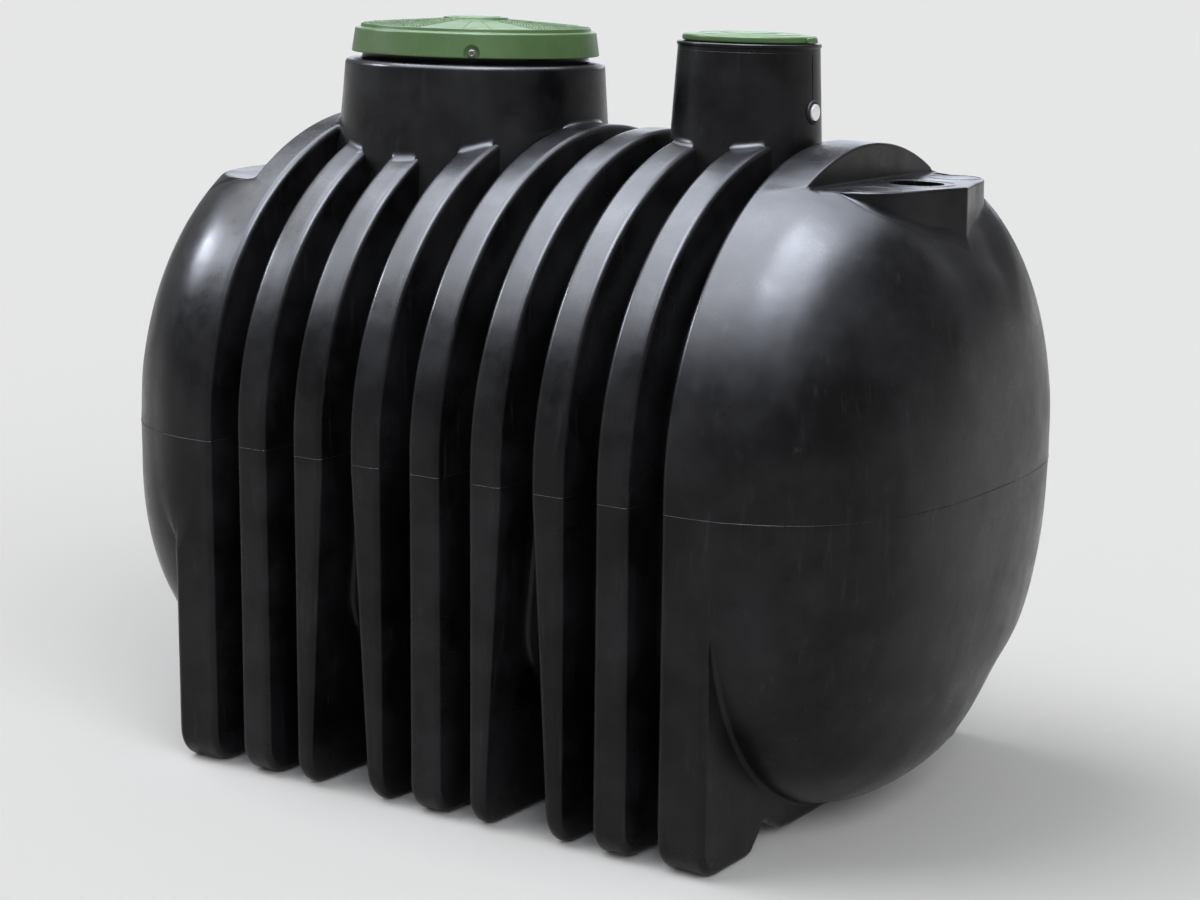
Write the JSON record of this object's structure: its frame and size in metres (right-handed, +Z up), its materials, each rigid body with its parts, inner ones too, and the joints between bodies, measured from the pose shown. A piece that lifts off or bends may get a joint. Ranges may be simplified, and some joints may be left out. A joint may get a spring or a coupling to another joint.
{
  "type": "rainwater tank",
  "caption": "Buried rainwater tank: ribbed hollow black plastic shell on moulded feet with domed ends, a manhole neck under a screwed green lid, a filter neck and a pipe hole in its shelf",
  "frame": {"origin": "on the ground under the middle of the tank", "axes": "+X along the tank towards the end with the filter neck and the pipe hole, +Y across it, +Z up"},
  "size_m": [1.9328, 1.2598, 1.614],
  "materials": {
    "black_shell": "satin polyethylene with moulding scuffs",
    "green_lid": "satin moulded plastic",
    "screw_steel": "plain steel screws",
    "black_rubber": "matt rubber",
    "white_plug": "white moulded plastic"
  },
  "bodies": {
    "root": {"rib_1": "black_shell", "rib_2": "black_shell", "rib_3": "black_shell", "rib_4": "black_shell", "rib_5": "black_shell", "rib_6": "black_shell", "rib_7": "black_shell", "valley_1": "black_shell", "valley_2": "black_shell", "valley_3": "black_shell", "valley_4": "black_shell", "valley_5": "black_shell", "valley_6": "black_shell", "valley_7": "black_shell", "valley_8": "black_shell", "left_end_ring": "black_shell", "right_end_ring": "black_shell", "left_end_dome": "black_shell", "right_end_dome": "black_shell", "inlet_shelf": "black_shell", "rear_shelf": "black_shell", "manhole_neck": "black_shell", "filter_neck": "black_shell", "manhole_lid": "green_lid", "filter_lid": "green_lid", "lid_screws": "screw_steel", "port_grommet": "black_rubber", "port_plug": "white_plug"}
  },
  "joints": []
}
